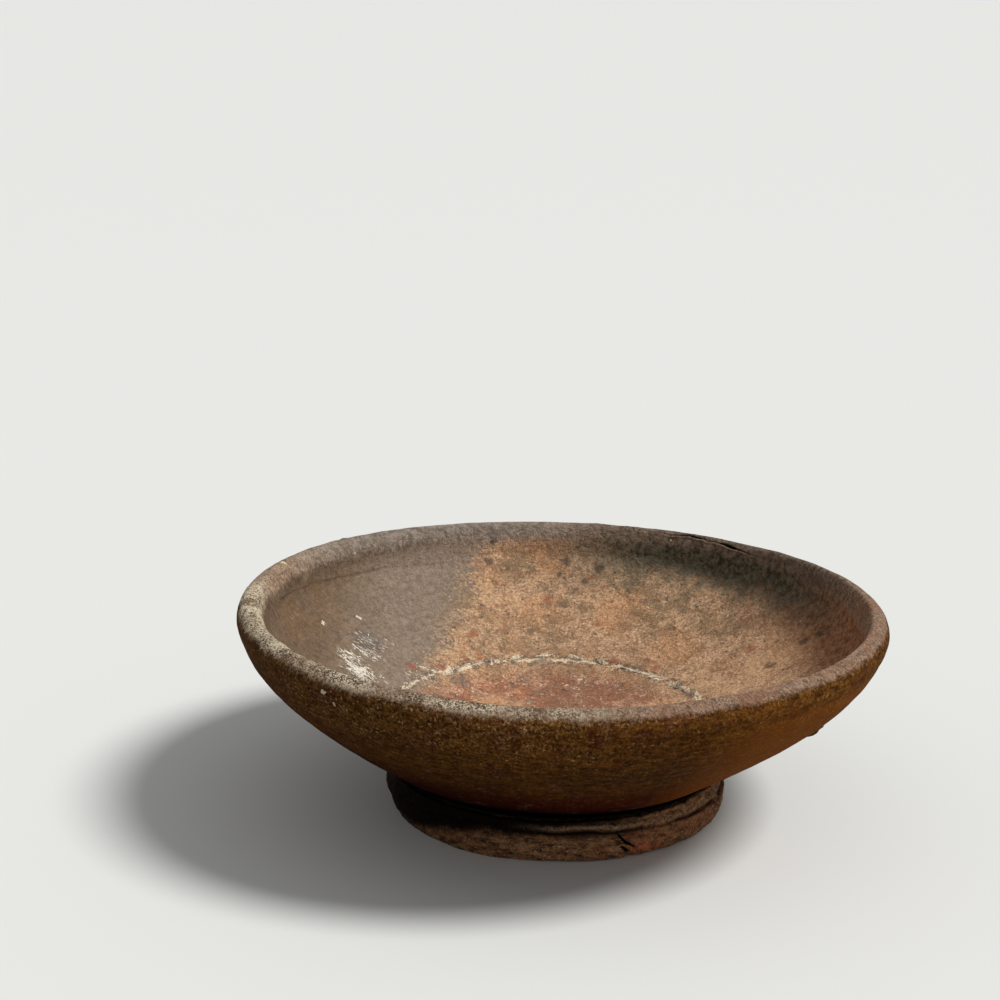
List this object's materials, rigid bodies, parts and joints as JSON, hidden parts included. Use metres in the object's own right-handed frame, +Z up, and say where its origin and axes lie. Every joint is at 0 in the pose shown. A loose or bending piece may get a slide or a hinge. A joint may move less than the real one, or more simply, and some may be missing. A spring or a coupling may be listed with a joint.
{
  "type": "stoneware bowl",
  "caption": "Shallow wood-fired stoneware bowl with a thick rolled rim, a luted foot ring and a broken stacking scar of fused grit on its floor.",
  "frame": {"origin": "middle of the circle that the foot ring stands on, at table height", "axes": "+Z up out of the bowl's mouth, +X to the right and +Y away from the viewer of the picture"},
  "size_m": [0.165, 0.165, 0.0545],
  "materials": {
    "body_clay": "matte, ash-flashed wood-fired stoneware",
    "foot_clay": "matte, dark and cracked",
    "joint_slip": "matte",
    "scar_grit": "rough white grit",
    "kiln_grit": "rough brown grit"
  },
  "bodies": {
    "root": {"bowl_body": "body_clay", "foot_ring": "foot_clay", "luting_slip": "joint_slip", "scar_crust_01": "scar_grit", "scar_crust_02": "scar_grit", "scar_crust_03": "scar_grit", "scar_crust_04": "scar_grit", "scar_crust_05": "scar_grit", "scar_crust_06": "scar_grit", "scar_crust_07": "scar_grit", "scar_crust_08": "scar_grit", "scar_crust_09": "scar_grit", "scar_crust_10": "scar_grit", "scar_crust_11": "scar_grit", "scar_crust_12": "scar_grit", "scar_crust_13": "scar_grit", "scar_crust_14": "scar_grit", "scar_crust_15": "scar_grit", "scar_crust_16": "scar_grit", "scar_crust_17": "scar_grit", "fused_grit_lump": "kiln_grit"}
  },
  "joints": []
}
